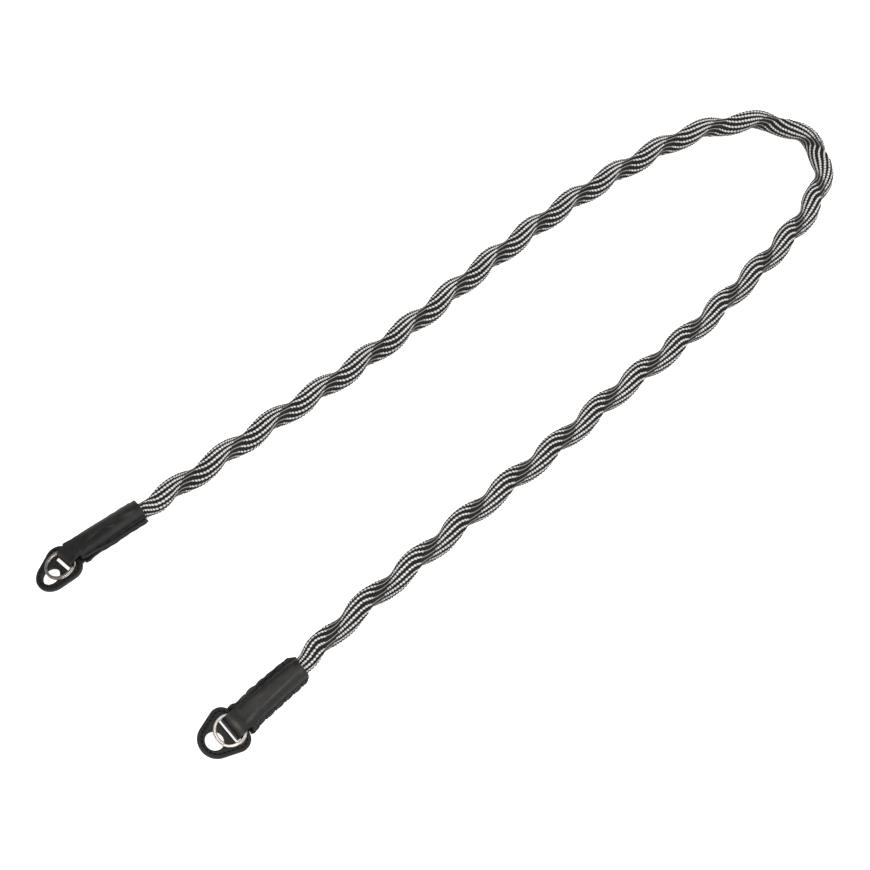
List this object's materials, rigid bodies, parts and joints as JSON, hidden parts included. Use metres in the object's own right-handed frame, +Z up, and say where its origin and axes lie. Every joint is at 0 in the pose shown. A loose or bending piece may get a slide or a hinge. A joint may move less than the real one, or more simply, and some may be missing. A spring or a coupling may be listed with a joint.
{
  "type": "coiled camera strap",
  "caption": "Camera neck strap of black and white knitted cord set in a corkscrew form, with a leather sleeve, a leather ring guard and a small split ring at each end.",
  "frame": {"origin": "centre of the bounding box in x and y, on the surface that the strap lies on", "axes": "+Z up from the surface, +Y from the leather ends to the bend of the cord, +X from the left leg of the long U to the right leg"},
  "size_m": [0.1353, 0.4598, 0.0119],
  "materials": {
    "knitted_cord": "knitted black and white rows, matte",
    "black_leather": "smooth, slightly waxed",
    "nickel_ring": "polished warm nickel"
  },
  "bodies": {
    "root": {"cord": "knitted_cord", "sleeve_left": "black_leather", "sleeve_right": "black_leather", "ring_guard_left": "black_leather", "ring_guard_right": "black_leather", "split_ring_left": "nickel_ring", "split_ring_right": "nickel_ring"}
  },
  "joints": []
}
